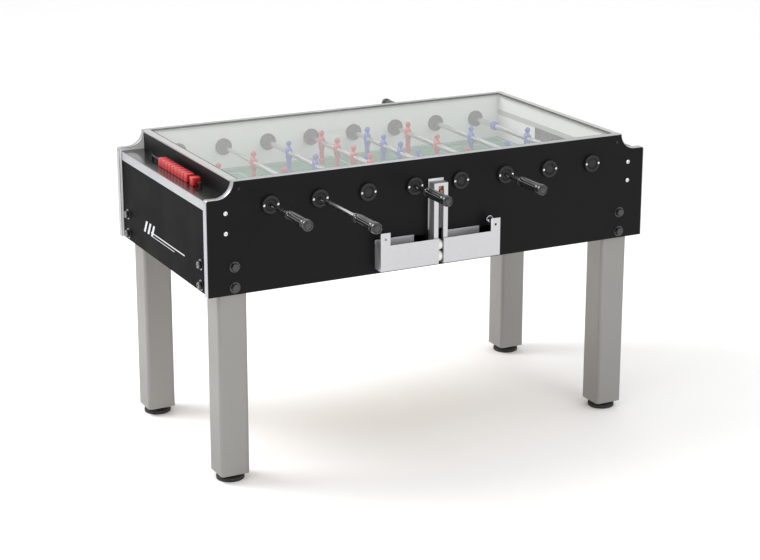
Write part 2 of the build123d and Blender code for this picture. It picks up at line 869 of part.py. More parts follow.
for end_name, sign in (("left", -1), ("right", 1)):
    groups = (
        (f"score_beads_{end_name}", beads_together, stack_start),
        (f"score_last_bead_{end_name}", 1, single_start),
    )
    for name, count, first_face in groups:
        bead_places = [
            (
                sign * score_rod_x,
                -sign * (first_face - number * bead_pitch - bead_length / 2),
                score_rod_z,
            )
            for number in range(count)
        ]
        with BuildPart() as beads:
            with Locations(bead_places):
                add(bead.part)
        save(beads.part, name)
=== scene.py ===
import math

import bmesh
import bpy
from mathutils import Matrix, Vector


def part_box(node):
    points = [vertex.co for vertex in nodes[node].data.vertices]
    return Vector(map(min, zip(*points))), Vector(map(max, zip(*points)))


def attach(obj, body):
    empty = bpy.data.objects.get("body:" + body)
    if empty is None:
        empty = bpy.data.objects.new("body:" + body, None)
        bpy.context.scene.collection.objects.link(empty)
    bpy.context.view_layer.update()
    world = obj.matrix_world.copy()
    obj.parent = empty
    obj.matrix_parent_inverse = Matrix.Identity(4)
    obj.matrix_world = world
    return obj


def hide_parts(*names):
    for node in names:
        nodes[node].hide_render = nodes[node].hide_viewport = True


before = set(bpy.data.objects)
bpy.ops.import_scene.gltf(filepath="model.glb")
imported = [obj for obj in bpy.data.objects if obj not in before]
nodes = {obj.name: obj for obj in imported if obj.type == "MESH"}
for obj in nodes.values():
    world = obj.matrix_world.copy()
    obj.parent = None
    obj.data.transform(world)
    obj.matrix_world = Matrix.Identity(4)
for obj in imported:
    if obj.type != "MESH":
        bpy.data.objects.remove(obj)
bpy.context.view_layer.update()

mm = 0.001


# camera: front left, above the glass
cameraView = {
    "place": (-2.5255, -4.9251, 2.1526),
    "yaw": 27.135,
    "pitch": -15.068,
    "roll": 0.07,
    "lens": 88.78,
    "shiftY": -0.1,
}


def makeCamera(view):
    yaw, pitch = math.radians(view["yaw"]), math.radians(view["pitch"])
    forward = Vector((math.sin(yaw) * math.cos(pitch), math.cos(yaw) * math.cos(pitch), math.sin(pitch)))
    right = Vector((math.cos(yaw), -math.sin(yaw), 0.0))
    up = right.cross(forward)
    data = bpy.data.cameras.new("tableCamera")
    data.lens = view["lens"]
    data.sensor_width = 36.0
    data.shift_y = view["shiftY"]
    camera = bpy.data.objects.new("tableCamera", data)
    turn = Matrix((right, up, -forward)).transposed().to_4x4()
    roll = Matrix.Rotation(math.radians(view["roll"]), 4, "Z")
    camera.matrix_world = Matrix.Translation(view["place"]) @ turn @ roll
    bpy.context.scene.collection.objects.link(camera)
    bpy.context.scene.camera = camera


makeCamera(cameraView)
print("camera placed")


# shader helpers

def addNode(tree, kind, inputs=None, **settings):
    node = tree.nodes.new(kind)
    for key, value in settings.items():
        setattr(node, key, value)
    for key, value in (inputs or {}).items():
        if isinstance(value, bpy.types.NodeSocket):
            tree.links.new(value, node.inputs[key])
        else:
            node.inputs[key].default_value = value
    return node


def mathNode(tree, operation, first, second=0.0, third=0.0):
    return addNode(tree, "ShaderNodeMath", {0: first, 1: second, 2: third}, operation=operation).outputs[0]


def both(tree, first, second):
    return mathNode(tree, "MULTIPLY", first, second)


def anyOf(tree, marks):
    total = marks[0]
    for mark in marks[1:]:
        total = mathNode(tree, "MAXIMUM", total, mark)
    return total


def mixColour(tree, factor, first, second):
    return addNode(tree, "ShaderNodeMix", {0: factor, 6: first, 7: second}, data_type="RGBA").outputs[2]


def rgba(colour):
    return (*colour, 1.0)


def newGroup(name, inputs, outputs):
    group = bpy.data.node_groups.new(name, "ShaderNodeTree")
    for label, kind, value in inputs:
        socket = group.interface.new_socket(name=label, in_out="INPUT", socket_type=kind)
        if value is not None:
            socket.default_value = value
    for label in outputs:
        group.interface.new_socket(name=label, in_out="OUTPUT", socket_type="NodeSocketFloat")
    return group, group.nodes.new("NodeGroupInput").outputs, group.nodes.new("NodeGroupOutput").inputs


def makeGrainGroup():
    # fine mottling at one scale, stretched along an axis for brushed metal
    group, given, made = newGroup("grain", [
        ("Vector", "NodeSocketVector", None),
        ("Stretch", "NodeSocketVector", (1.0, 1.0, 1.0)),
        ("Scale", "NodeSocketFloat", 400.0),
        ("Detail", "NodeSocketFloat", 3.0),
    ], ["Mask", "Height"])
    stretched = addNode(
        group, "ShaderNodeVectorMath", {0: given["Vector"], 1: given["Stretch"]}, operation="MULTIPLY"
    )
    noise = addNode(group, "ShaderNodeTexNoise", {
        "Vector": stretched.outputs[0], "Scale": given["Scale"],
        "Detail": given["Detail"], "Roughness": 0.6,
    })
    spread = addNode(group, "ShaderNodeMapRange", {0: noise.outputs[0], 1: 0.3, 2: 0.7, 3: 0.0, 4: 1.0})
    group.links.new(spread.outputs[0], made["Mask"])
    group.links.new(noise.outputs[0], made["Height"])
    return group


def makeHandlingGroup():
    # soft patches of fingermarks and dust that change the gloss from place to place
    group, given, made = newGroup("handling", [
        ("Vector", "NodeSocketVector", None),
        ("Scale", "NodeSocketFloat", 6.0),
        ("Low", "NodeSocketFloat", 0.3),
        ("High", "NodeSocketFloat", 0.45),
    ], ["Value", "Mask"])
    wide = addNode(group, "ShaderNodeTexNoise", {
        "Vector": given["Vector"], "Scale": given["Scale"], "Detail": 5.0, "Roughness": 0.55,
    })
    spread = addNode(group, "ShaderNodeMapRange", {0: wide.outputs[0], 1: 0.35, 2: 0.7, 3: 0.0, 4: 1.0})
    value = addNode(group, "ShaderNodeMapRange", {0: spread.outputs[0], 3: given["Low"], 4: given["High"]})
    group.links.new(value.outputs[0], made["Value"])
    group.links.new(spread.outputs[0], made["Mask"])
    return group


def makeBandGroup():
    # one between two values, fading over a soft edge
    group, given, made = newGroup("band", [
        ("Value", "NodeSocketFloat", 0.0),
        ("Low", "NodeSocketFloat", 0.0),
        ("High", "NodeSocketFloat", 1.0),
        ("Soft", "NodeSocketFloat", 0.0003),
    ], ["Mask"])
    above = mathNode(group, "SUBTRACT", given["Value"], given["Low"])
    below = mathNode(group, "SUBTRACT", given["High"], given["Value"])
    near = mathNode(group, "MINIMUM", above, below)
    scaled = mathNode(group, "DIVIDE", near, given["Soft"])
    clamped = addNode(group, "ShaderNodeClamp", {0: scaled})
    group.links.new(clamped.outputs[0], made["Mask"])
    return group


grainGroup = makeGrainGroup()
handlingGroup = makeHandlingGroup()
bandGroup = makeBandGroup()


def useGroup(tree, group, inputs):
    return addNode(tree, "ShaderNodeGroup", inputs, node_tree=group).outputs


def band(tree, value, low, high, soft=0.0003):
    return useGroup(tree, bandGroup, {"Value": value, "Low": low, "High": high, "Soft": soft})["Mask"]


def startMaterial(name, constants):
    material = bpy.data.materials.new(name)
    material.use_nodes = True
    tree = material.node_tree
    tree.nodes.clear()
    output = tree.nodes.new("ShaderNodeOutputMaterial")
    shader = addNode(tree, "ShaderNodeBsdfPrincipled", constants)
    tree.links.new(shader.outputs[0], output.inputs[0])
    place = tree.nodes.new("ShaderNodeTexCoord").outputs["Object"]
    return material, tree, shader, place


def dress(tree, shader, place, look, colour=None):
    # grain tints the colour and lifts the surface, handling varies the gloss
    grain = useGroup(tree, grainGroup, {
        "Vector": place,
        "Stretch": look.get("stretch", (1.0, 1.0, 1.0)),
        "Scale": look["grainScale"],
        "Detail": look.get("detail", 3.0),
    })
    base = colour or rgba(look["colour"])
    faint = both(tree, grain["Mask"], look["tint"])
    tree.links.new(mixColour(tree, faint, base, rgba(look["flecks"])), shader.inputs["Base Color"])
    low, high = look["gloss"]
    handled = useGroup(tree, handlingGroup, {
        "Vector": place, "Scale": look.get("patchScale", 7.0), "Low": low, "High": high,
    })
    tree.links.new(handled["Value"], shader.inputs["Roughness"])
    bump = addNode(tree, "ShaderNodeBump", {
        "Strength": look["bump"], "Distance": look.get("depth", 0.0002), "Height": grain["Height"],
    })
    tree.links.new(bump.outputs[0], shader.inputs["Normal"])


def plainFinish(name, look, constants=None):
    material, tree, shader, place = startMaterial(name, constants or {})
    dress(tree, shader, place, look)
    return material


# finishes

finishes = {
    "shelf": {
        "colour": (0.009, 0.0085, 0.008), "flecks": (0.03, 0.028, 0.026), "tint": 0.25,
        "grainScale": 900.0, "gloss": (0.16, 0.3), "bump": 0.05,
    },
    "trim": {
        "colour": (0.40, 0.405, 0.42), "flecks": (0.54, 0.545, 0.56), "tint": 0.5,
        "grainScale": 260.0, "stretch": (0.15, 0.15, 1.0), "gloss": (0.26, 0.42), "bump": 0.12,
    },
    "rail": {
        "colour": (0.47, 0.463, 0.445), "flecks": (0.54, 0.533, 0.515), "tint": 0.3,
        "grainScale": 300.0, "stretch": (0.2, 0.2, 1.0), "gloss": (0.3, 0.42), "bump": 0.06,
    },
    "returnBoard": {
        "colour": (0.42, 0.3, 0.17), "flecks": (0.26, 0.17, 0.09), "tint": 0.6,
        "grainScale": 60.0, "stretch": (0.1, 1.0, 1.0), "gloss": (0.5, 0.65), "bump": 0.15,
    },
    "leg": {
        "colour": (0.25, 0.245, 0.233), "flecks": (0.35, 0.343, 0.326), "tint": 0.35,
        "grainScale": 1400.0, "gloss": (0.36, 0.48), "bump": 0.1, "patchScale": 3.0,
    },
    "sheet": {
        "colour": (0.50, 0.50, 0.515), "flecks": (0.60, 0.60, 0.612), "tint": 0.5,
        "grainScale": 500.0, "stretch": (0.12, 1.0, 1.0), "gloss": (0.36, 0.5), "bump": 0.08,
    },
    "steel": {
        "colour": (0.62, 0.62, 0.63), "flecks": (0.8, 0.8, 0.8), "tint": 0.4,
        "grainScale": 900.0, "gloss": (0.16, 0.28), "bump": 0.06,
    },
    "chrome": {
        "colour": (0.56, 0.56, 0.57), "flecks": (0.66, 0.66, 0.67), "tint": 0.4,
        "grainScale": 300.0, "stretch": (1.0, 0.1, 1.0), "gloss": (0.16, 0.26), "bump": 0.03,
    },
    "grip": {
        "colour": (0.008, 0.008, 0.009), "flecks": (0.03, 0.03, 0.032), "tint": 0.3,
        "grainScale": 700.0, "gloss": (0.1, 0.2), "bump": 0.05,
    },
    "plastic": {
        "colour": (0.007, 0.007, 0.008), "flecks": (0.028, 0.028, 0.031), "tint": 0.35,
        "grainScale": 1100.0, "gloss": (0.3, 0.44), "bump": 0.18,
    },
    "rubber": {
        "colour": (0.015, 0.015, 0.015), "flecks": (0.06, 0.058, 0.055), "tint": 0.3,
        "grainScale": 500.0, "gloss": (0.55, 0.75), "bump": 0.3,
    },
    "ball": {
        "colour": (0.82, 0.82, 0.8), "flecks": (0.68, 0.67, 0.64), "tint": 0.3,
        "grainScale": 260.0, "gloss": (0.45, 0.6), "bump": 0.12,
    },
    "red": {
        "colour": (0.5, 0.012, 0.016), "flecks": (0.66, 0.03, 0.03), "tint": 0.35,
        "grainScale": 420.0, "gloss": (0.22, 0.34), "bump": 0.05,
    },
    "blue": {
        "colour": (0.02, 0.06, 0.42), "flecks": (0.05, 0.12, 0.6), "tint": 0.35,
        "grainScale": 420.0, "gloss": (0.22, 0.34), "bump": 0.05,
    },
}

metal = {"Metallic": 1.0}
shelfGloss = plainFinish("shelfGloss", finishes["shelf"], {"Coat Weight": 0.35, "Coat Roughness": 0.08})
trimMetal = plainFinish("trimMetal", finishes["trim"], metal)
railMetal = plainFinish("railMetal", finishes["rail"], {"Metallic": 0.6})
returnPly = plainFinish("returnPly", finishes["returnBoard"])
legPaint = plainFinish("legPaint", finishes["leg"], {"Metallic": 0.55})
sheetMetal = plainFinish("sheetMetal", finishes["sheet"], {"Metallic": 0.75})
brightSteel = plainFinish("brightSteel", finishes["steel"], metal)
rodChrome = plainFinish("rodChrome", finishes["chrome"], metal)
gripPlastic = plainFinish("gripPlastic", finishes["grip"], {"Coat Weight": 0.5, "Coat Roughness": 0.06})
mouldedPlastic = plainFinish("mouldedPlastic", finishes["plastic"], {"Specular IOR Level": 0.3})
padRubber = plainFinish("padRubber", finishes["rubber"])
ballWhite = plainFinish("ballWhite", finishes["ball"])
teamRed = plainFinish("teamRed", finishes["red"], {"Coat Weight": 0.2})
teamBlue = plainFinish("teamBlue", finishes["blue"], {"Coat Weight": 0.2})


# laminate: black outside, pale on the face towards the field

laminateLook = {
    "black": (0.005, 0.005, 0.0055), "pale": (0.90, 0.89, 0.88), "shade": (0.46, 0.455, 0.45),
    "flecks": (0.04, 0.04, 0.043), "tint": 0.08,
    "grainScale": 1300.0, "gloss": (0.38, 0.5), "bump": 0.12,
    # millimetres: goal wall's face past the glass, slack on a face, and the shade's reach round the shelf
    "goalFace": 3.0, "slack": 0.3, "shadeBelow": 17.0, "shadeAbove": 1.0,
}


def axisValue(tree, place, axis):
    return addNode(tree, "ShaderNodeSeparateXYZ", {0: place}).outputs[axis]


def laminate(name, axis, innerFace, stripe=None):
    material, tree, shader, place = startMaterial(name, {"Specular IOR Level": 0.1})
    across = mathNode(tree, "ABSOLUTE", axisValue(tree, place, axis))
    outside = mathNode(tree, "GREATER_THAN", across, innerFace)
    pale = rgba(laminateLook["pale"])
    if stripe:
        level = band(tree, axisValue(tree, place, "Z"), stripe[0], stripe[1])
        pale = mixColour(tree, level, pale, rgba(laminateLook["shade"]))
    colour = mixColour(tree, outside, pale, rgba(laminateLook["black"]))
    dress(tree, shader, place, laminateLook, colour)
    return material


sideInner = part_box("side_panel_rear")[0].y
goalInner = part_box("glass_top")[1].x + laminateLook["goalFace"] * mm
slack = laminateLook["slack"] * mm
sideLaminate = laminate("sideLaminate", "Y", sideInner + slack)
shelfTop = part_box("end_shelves")[1].z
shadeStripe = (shelfTop - laminateLook["shadeBelow"] * mm, shelfTop + laminateLook["shadeAbove"] * mm)
wallLaminate = laminate("wallLaminate", "X", goalInner + slack, shadeStripe)


# end panels: black laminate, the left one with three slanted bars over two plain lines

endPrint = {
    "lines": [(-0.17, 0.10, 0.070, 0.074), (-0.09, 0.10, 0.061, 0.0635)],
    "bars": 3, "barStart": 0.19, "barPitch": 0.03, "barWidth": 0.014,
    "barRise": (0.061, 0.098), "slant": 0.6,
    "ink": (0.62, 0.63, 0.64), "specular": 0.012,
}


def endLaminate():
    gloss = {"Specular IOR Level": endPrint["specular"]}
    material, tree, shader, place = startMaterial("endLaminate", gloss)
    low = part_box("end_panels")[0]
    along = axisValue(tree, place, "Y")
    rise = mathNode(tree, "SUBTRACT", axisValue(tree, place, "Z"), low.z)
    marks = []
    for start, end, bottom, top in endPrint["lines"]:
        marks.append(both(tree, band(tree, along, start, end), band(tree, rise, bottom, top)))
    leaning = mathNode(tree, "ADD", along, both(tree, rise, endPrint["slant"]))
    half = endPrint["barWidth"] / 2
    for number in range(endPrint["bars"]):
        middle = endPrint["barStart"] - number * endPrint["barPitch"]
        bar = band(tree, leaning, middle - half, middle + half)
        marks.append(both(tree, bar, band(tree, rise, *endPrint["barRise"])))
    leftFace = mathNode(tree, "LESS_THAN", axisValue(tree, place, "X"), low.x + slack)
    ink = both(tree, anyOf(tree, marks), leftFace)
    colour = mixColour(tree, ink, rgba(laminateLook["black"]), rgba(endPrint["ink"]))
    dress(tree, shader, place, laminateLook, colour)
    return material


# field: green board with white lines

fieldLook = {
    "line": 0.004, "circle": 0.1, "spot": 0.008, "border": 0.012,
    "boxes": [(0.26, 0.27), (0.13, 0.17)], "white": (0.8, 0.82, 0.8),
    "colour": (0.04, 0.21, 0.11), "flecks": (0.06, 0.27, 0.15), "tint": 0.5,
    "grainScale": 200.0, "gloss": (0.35, 0.5), "bump": 0.08,
}


def fieldFinish():
    material, tree, shader, place = startMaterial("fieldFinish", {})
    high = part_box("playfield")[1]
    line = fieldLook["line"]
    acrossX = mathNode(tree, "ABSOLUTE", axisValue(tree, place, "X"))
    acrossY = mathNode(tree, "ABSOLUTE", axisValue(tree, place, "Y"))
    squares = mathNode(tree, "ADD", both(tree, acrossX, acrossX), both(tree, acrossY, acrossY))
    radius = mathNode(tree, "SQRT", squares)
    marks = [
        band(tree, acrossX, -1.0, line / 2),
        band(tree, radius, fieldLook["circle"] - line / 2, fieldLook["circle"] + line / 2),
        band(tree, radius, -1.0, fieldLook["spot"]),
    ]
    for depth, halfWidth in fieldLook["boxes"]:
        edge = high.x - depth
        front = both(tree, band(tree, acrossX, edge - line, edge), band(tree, acrossY, -1.0, halfWidth))
        beside = band(tree, acrossY, halfWidth - line, halfWidth)
        marks += [front, both(tree, beside, band(tree, acrossX, edge - line, 2.0))]
    edgeX, edgeY = high.x - fieldLook["border"], high.y - fieldLook["border"]
    endLine = both(tree, band(tree, acrossX, edgeX - line, edgeX), band(tree, acrossY, -1.0, edgeY))
    sideLine = both(tree, band(tree, acrossY, edgeY - line, edgeY), band(tree, acrossX, -1.0, edgeX))
    marks += [endLine, sideLine]
    colour = mixColour(tree, anyOf(tree, marks), rgba(fieldLook["colour"]), rgba(fieldLook["white"]))
    dress(tree, shader, place, fieldLook, colour)
    return material


# glass: a pane with a pale veil of painted reflection of the bright room, and a slight haze

glassLook = {
    "colour": (0.84, 0.835, 0.825), "paintedReflectionVeil": 0.17, "ior": 1.5, "gloss": (0.03, 0.08), "patchScale": 3.0,
}


def paneGlass():
    # painted reflection: the pale base colour laid over the pane at partial alpha stands in for the bright
    # room's reflection, with a slight haze
    material, tree, shader, place = startMaterial("paneGlass", {
        "Base Color": rgba(glassLook["colour"]), "Alpha": glassLook["paintedReflectionVeil"], "IOR": glassLook["ior"],
    })
    low, high = glassLook["gloss"]
    handled = useGroup(tree, handlingGroup, {
        "Vector": place, "Scale": glassLook["patchScale"], "Low": low, "High": high,
    })
    tree.links.new(handled["Value"], shader.inputs["Roughness"])
    return material


# release slide: copper block, dark on its right half

slideLook = {
    "copper": (0.24, 0.10, 0.05), "dark": (0.03, 0.018, 0.012), "darkFrom": 0.001,
    "flecks": (0.5, 0.3, 0.2), "tint": 0.3,
    "grainScale": 400.0, "gloss": (0.3, 0.5), "bump": 0.1,
}


def slideFinish():
    material, tree, shader, place = startMaterial("slideFinish", {"Metallic": 0.7})
    low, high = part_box("release_slide")
    middle = (low.x + high.x) / 2
    right = mathNode(tree, "GREATER_THAN", axisValue(tree, place, "X"), middle + slideLook["darkFrom"])
    colour = mixColour(tree, right, rgba(slideLook["copper"]), rgba(slideLook["dark"]))
    dress(tree, shader, place, slideLook, colour)
    return material


nodeFinishes = {
    "side_panel_front": sideLaminate,
    "side_panel_rear": sideLaminate,
    "end_panels": endLaminate(),
    "end_shelves": shelfGloss,
    "goal_walls": wallLaminate,
    "edge_trims": trimMetal,
    "glass_rails": railMetal,
    "playfield": fieldFinish(),
    "ball_return": returnPly,
    "glass_top": paneGlass(),
    "legs": legPaint,
    "leg_fasteners": mouldedPlastic,
    "rod_bushings": mouldedPlastic,
    "panel_screws": brightSteel,
    "score_rods": mouldedPlastic,
    "tray_lock": brightSteel,
    "coin_channel": sheetMetal,
    "ball_trays": sheetMetal,
    "game_balls": ballWhite,
    "release_slide": slideFinish(),
}
rodNumbers = range(1, 9)
rodTeams = {number: teamRed if number in (1, 2, 4, 6) else teamBlue for number in rodNumbers}
for number, team in rodTeams.items():
    nodeFinishes[f"rod_{number}_bar"] = rodChrome
    nodeFinishes[f"rod_{number}_tube"] = rodChrome
    nodeFinishes[f"rod_{number}_handle"] = gripPlastic
    nodeFinishes[f"rod_{number}_players"] = team
for end, team in (("left", teamRed), ("right", teamBlue)):
    nodeFinishes[f"score_beads_{end}"] = team
    nodeFinishes[f"score_last_bead_{end}"] = team
    for side in ("front", "rear"):
        nodeFinishes[f"foot_{side}_{end}"] = padRubber
for name, material in nodeFinishes.items():
    mesh = nodes[name].data
    mesh.materials.clear()
    mesh.materials.append(material)
print("materials ready")


# mesh helpers

flatArea = 0.004  # square metres: wide board faces stay flat, the strips round tubes and corners are smooth


def makePiece(name, mesh, material, body, replaced=(), sharpAngle=32.0):
    bmesh.ops.recalc_face_normals(mesh, faces=mesh.faces[:])
    for face in mesh.faces:
        face.smooth = face.calc_area() < flatArea
    limit = math.radians(sharpAngle)
    for edge in mesh.edges:
        edge.smooth = len(edge.link_faces) != 2 or edge.calc_face_angle(0.0) < limit
    data = bpy.data.meshes.new(name)
    mesh.to_mesh(data)
    mesh.free()
    data.materials.append(material)
    piece = bpy.data.objects.new(name, data)
    bpy.context.scene.collection.objects.link(piece)
    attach(piece, body)
    if replaced:
        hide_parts(*replaced)
    return piece


def joinInto(target, source, matrix=None):
    # adds one small mesh to another and frees it
    if matrix is not None:
        bmesh.ops.transform(source, matrix=matrix, verts=source.verts)
    bmesh.ops.recalc_face_normals(source, faces=source.faces[:])
    carrier = bpy.data.meshes.new("carrier")
    source.to_mesh(carrier)
    source.free()
    target.from_mesh(carrier)
    bpy.data.meshes.remove(carrier)


def facing(origin, direction):
    # local Z turned to the direction, at the origin
    return Matrix.Translation(origin) @ Vector(direction).to_track_quat("Z", "Y").to_matrix().to_4x4()


def spun(profile, steps):
    # profile points are radius and height in millimetres
    mesh = bmesh.new()
    points = [mesh.verts.new((radius * mm, 0.0, height * mm)) for radius, height in profile]
    edges = [mesh.edges.new(pair) for pair in zip(points, points[1:])]
    bmesh.ops.spin(
        mesh, geom=points + edges, cent=(0, 0, 0), axis=(0, 0, 1), angle=math.tau, steps=steps, use_merge=True
    )
    bmesh.ops.remove_doubles(mesh, verts=mesh.verts[:], dist=1e-6)
    bmesh.ops.dissolve_degenerate(mesh, edges=mesh.edges[:], dist=1e-6)
    return mesh


def roundEdges(mesh, edges, radius, segments, clamp=True):
    bmesh.ops.bevel(
        mesh, geom=edges, offset=radius, segments=segments, profile=0.5, affect="EDGES", material=-1,
        clamp_overlap=clamp,
    )


def edgesSharperThan(mesh, degrees):
    limit = math.radians(degrees)
    return [e for e in mesh.edges if len(e.link_faces) == 2 and e.calc_face_angle(0.0) > limit]


def plainBlock(size):
    mesh = bmesh.new()
    bmesh.ops.create_cube(mesh, size=1.0)
    bmesh.ops.scale(mesh, vec=size, verts=mesh.verts)
    return mesh


def easedBlock(size, radius, segments=2):
    mesh = plainBlock(size)
    roundEdges(mesh, mesh.edges[:], radius, segments, False)
    return mesh


def newVerts(made):
    return [g for g in made["geom"] if isinstance(g, bmesh.types.BMVert)]


def pulledTo(vert, factor):
    vert.co.x *= factor
    vert.co.y *= factor


def rodAxis(number):
    low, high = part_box(f"rod_{number}_bar")
    return (low.x + high.x) / 2, (low.z + high.z) / 2


def mergedCopy(node):
    mesh = bmesh.new()
    mesh.from_mesh(nodes[node].data)
    bmesh.ops.remove_doubles(mesh, verts=mesh.verts[:], dist=1e-6)
    return mesh


def islands(node):
    # lowest and highest corner of each separate solid in a node
    mesh = mergedCopy(node)
    left = set(mesh.verts)
    boxes = []
    while left:
        group = [left.pop()]
        for vert in group:
            for edge in vert.link_edges:
                other = edge.other_vert(vert)
                if other in left:
                    left.remove(other)
                    group.append(other)
        low = Vector([min(v.co[axis] for v in group) for axis in range(3)])
        high = Vector([max(v.co[axis] for v in group) for axis in range(3)])
        boxes.append((low, high))
    mesh.free()
    return sorted(boxes, key=lambda pair: tuple(round(c, 4) for c in (*pair[0], *pair[1])))


def easedCopy(node, material, body, ease, segments=2):
    # the node's own shape with its flat faces rejoined and its hard edges rounded
    mesh = mergedCopy(node)
    bmesh.ops.dissolve_limit(mesh, angle_limit=math.radians(1.0), verts=mesh.verts[:], edges=mesh.edges[:])
    if ease:
        roundEdges(mesh, edgesSharperThan(mesh, 50.0), ease, segments)
    return makePiece(f"{node}_finished", mesh, material, body, [node])


# boards, trims, sheet metal and tubes with their edges eased

easedNodes = [
    ("side_panel_front", "root", "black_laminate", 0.4),
    ("side_panel_rear", "root", "black_laminate", 0.4),
    ("end_panels", "root", "black_laminate", 0.4),
    ("end_shelves", "root", "black_laminate", 0.8),
    ("goal_walls", "root", "black_laminate", 0.5),
    ("edge_trims", "root", "trim_aluminium", 0.35),
    ("glass_rails", "root", "trim_aluminium", 0.7),
    ("legs", "root", "leg_silver", 0.5),
    ("coin_channel", "root", "satin_aluminium", 0.5),
    ("ball_trays", "root", "satin_aluminium", 0.4),
    ("score_rods", "root", "black_plastic", 0.0),
    ("release_slide", "release_slide", "slide_brass", 0.6),
]
for node, body, slot, ease in easedNodes:
    easedCopy(node, nodeFinishes[node], body, ease * mm)
for number in rodNumbers:
    easedCopy(f"rod_{number}_bar", rodChrome, f"rod_{number}_bar", 0.0)
    easedCopy(f"rod_{number}_tube", rodChrome, f"rod_{number}", 0.3 * mm, 1)
print("boards, sheet metal and tubes eased")


# handles: neck, fluted grip and a ringed end cap

handleShape = {
    "flutes": 12, "fluteDepth": 1.7, "fluteFrom": 20.0, "fluteTo": 100.0, "core": 12.0, "steps": 72,
    "neck": [(8.1, 116.0), (8.1, 0.0), (11.6, 0.0), (12.8, 1.2), (12.8, 5.0), (11.8, 6.2), (11.4, 8.0)],
    "grip": [
        (12.2, 11.0), (13.6, 15.0), (14.3, 18.0), (14.5, 21.0), (14.5, 60.0), (14.5, 98.0), (14.2, 101.5),
    ],
    "cap": [
        (13.2, 104.0), (13.2, 106.5), (15.2, 107.6), (16.0, 109.0), (16.0, 119.5), (15.3, 122.2),
        (13.6, 123.8), (12.0, 124.0), (11.4, 122.6), (9.4, 122.2), (8.8, 123.4), (4.0, 123.7), (0.0, 123.8),
    ],
}


def fluted(mesh, shape):
    for vert in mesh.verts:
        height = vert.co.z / mm
        radius = math.hypot(vert.co.x, vert.co.y) / mm
        if shape["fluteFrom"] < height < shape["fluteTo"] and radius > shape["core"]:
            wave = math.cos(shape["flutes"] * math.atan2(vert.co.y, vert.co.x))
            depth = shape["fluteDepth"] * max(0.0, wave) ** 0.5
            pulledTo(vert, 1.0 - depth / radius)


def makeHandle(number):
    low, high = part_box(f"rod_{number}_handle")
    front = low.y < 0
    start = Vector(((low.x + high.x) / 2, high.y if front else low.y, (low.z + high.z) / 2))
    profile = [(0.0, 116.0)] + handleShape["neck"] + handleShape["grip"] + handleShape["cap"]
    mesh = spun(profile, handleShape["steps"])
    fluted(mesh, handleShape)
    bmesh.ops.transform(mesh, matrix=facing(start, (0, -1 if front else 1, 0)), verts=mesh.verts)
    replaced = [f"rod_{number}_handle"]
    makePiece(f"rod_{number}_grip", mesh, gripPlastic, f"rod_{number}", replaced, 24.0)


for number in rodNumbers:
    makeHandle(number)
print("handles made")


# players: a moulded figure built up from rings, with arms and a head

playerShape = {
    "ringSteps": 20,
    # height above the rod, half width, half depth
    "body": [
        (-66.6, 9.4, 8.6), (-66.0, 10.6, 9.8), (-59.0, 10.6, 10.0), (-55.0, 9.2, 8.0), (-51.0, 7.4, 6.0),
        (-44.0, 8.4, 7.0), (-36.0, 9.2, 7.4), (-30.0, 8.6, 6.8), (-22.0, 10.0, 8.0), (-17.5, 11.0, 8.8),
        (-16.5, 12.4, 10.0), (-9.0, 12.2, 10.4), (-7.0, 11.2, 10.2), (0.0, 12.2, 11.6), (8.0, 13.2, 10.8),
        (13.0, 12.0, 8.6), (16.2, 7.0, 5.8), (17.6, 4.6, 4.6), (21.0, 4.2, 4.4),
    ],
    # along the arm: height, distance from the middle, half thickness
    "arm": [(14.6, 10.5, 2.4), (13.0, 12.8, 3.9), (6.0, 13.4, 3.6), (-2.0, 13.8, 3.2), (-9.0, 13.6, 2.8),
            (-12.5, 13.2, 3.1), (-16.0, 12.8, 2.2)],
    "headRadii": (8.6, 7.8, 9.4), "headHeight": 27.0, "hairRadii": (9.0, 8.2, 7.2), "hairHeight": 29.2,
    "noseReach": 8.2, "noseHeight": 26.0, "noseRadii": (1.8, 1.3, 2.0),
    "figureAbove": 60.0,  # a solid taller than this is a figure, a lower one a stop ring
}
stopRing = {"bore": 8.05, "shoulder": 12.8, "radius": 14.0, "chamfer": 1.2, "waist": 13.2}


def ringStack(rows, steps):
    # rows hold height, centre across, half width across and half depth
    mesh = bmesh.new()
    base = bmesh.ops.create_circle(mesh, cap_ends=True, radius=1.0, segments=steps)["verts"]
    edges = [e for e in mesh.edges]
    first = rows[0]
    bmesh.ops.scale(mesh, vec=(first[3] * mm, first[2] * mm, 1.0), verts=base)
    bmesh.ops.translate(mesh, vec=(0.0, first[1] * mm, first[0] * mm), verts=base)
    for last, row in zip(rows, rows[1:]):
        made = bmesh.ops.extrude_edge_only(mesh, edges=edges)
        verts = newVerts(made)
        edges = [g for g in made["geom"] if isinstance(g, bmesh.types.BMEdge)]
        middle = Vector((0.0, last[1] * mm, last[0] * mm))
        scale = (row[3] / last[3], row[2] / last[2], 1.0)
        bmesh.ops.translate(mesh, vec=-middle, verts=verts)
        bmesh.ops.scale(mesh, vec=scale, verts=verts)
        bmesh.ops.translate(mesh, vec=(0.0, row[1] * mm, row[0] * mm), verts=verts)
    bmesh.ops.holes_fill(mesh, edges=edges, sides=steps)
    return mesh


def ellipsoid(radii, height, steps=16):
    mesh = bmesh.new()
    bmesh.ops.create_uvsphere(mesh, u_segments=steps, v_segments=steps // 2 + 2, radius=1.0)
    bmesh.ops.scale(mesh, vec=[r * mm for r in radii], verts=mesh.verts)
    bmesh.ops.translate(mesh, vec=(0.0, 0.0, height * mm), verts=mesh.verts)
    return mesh


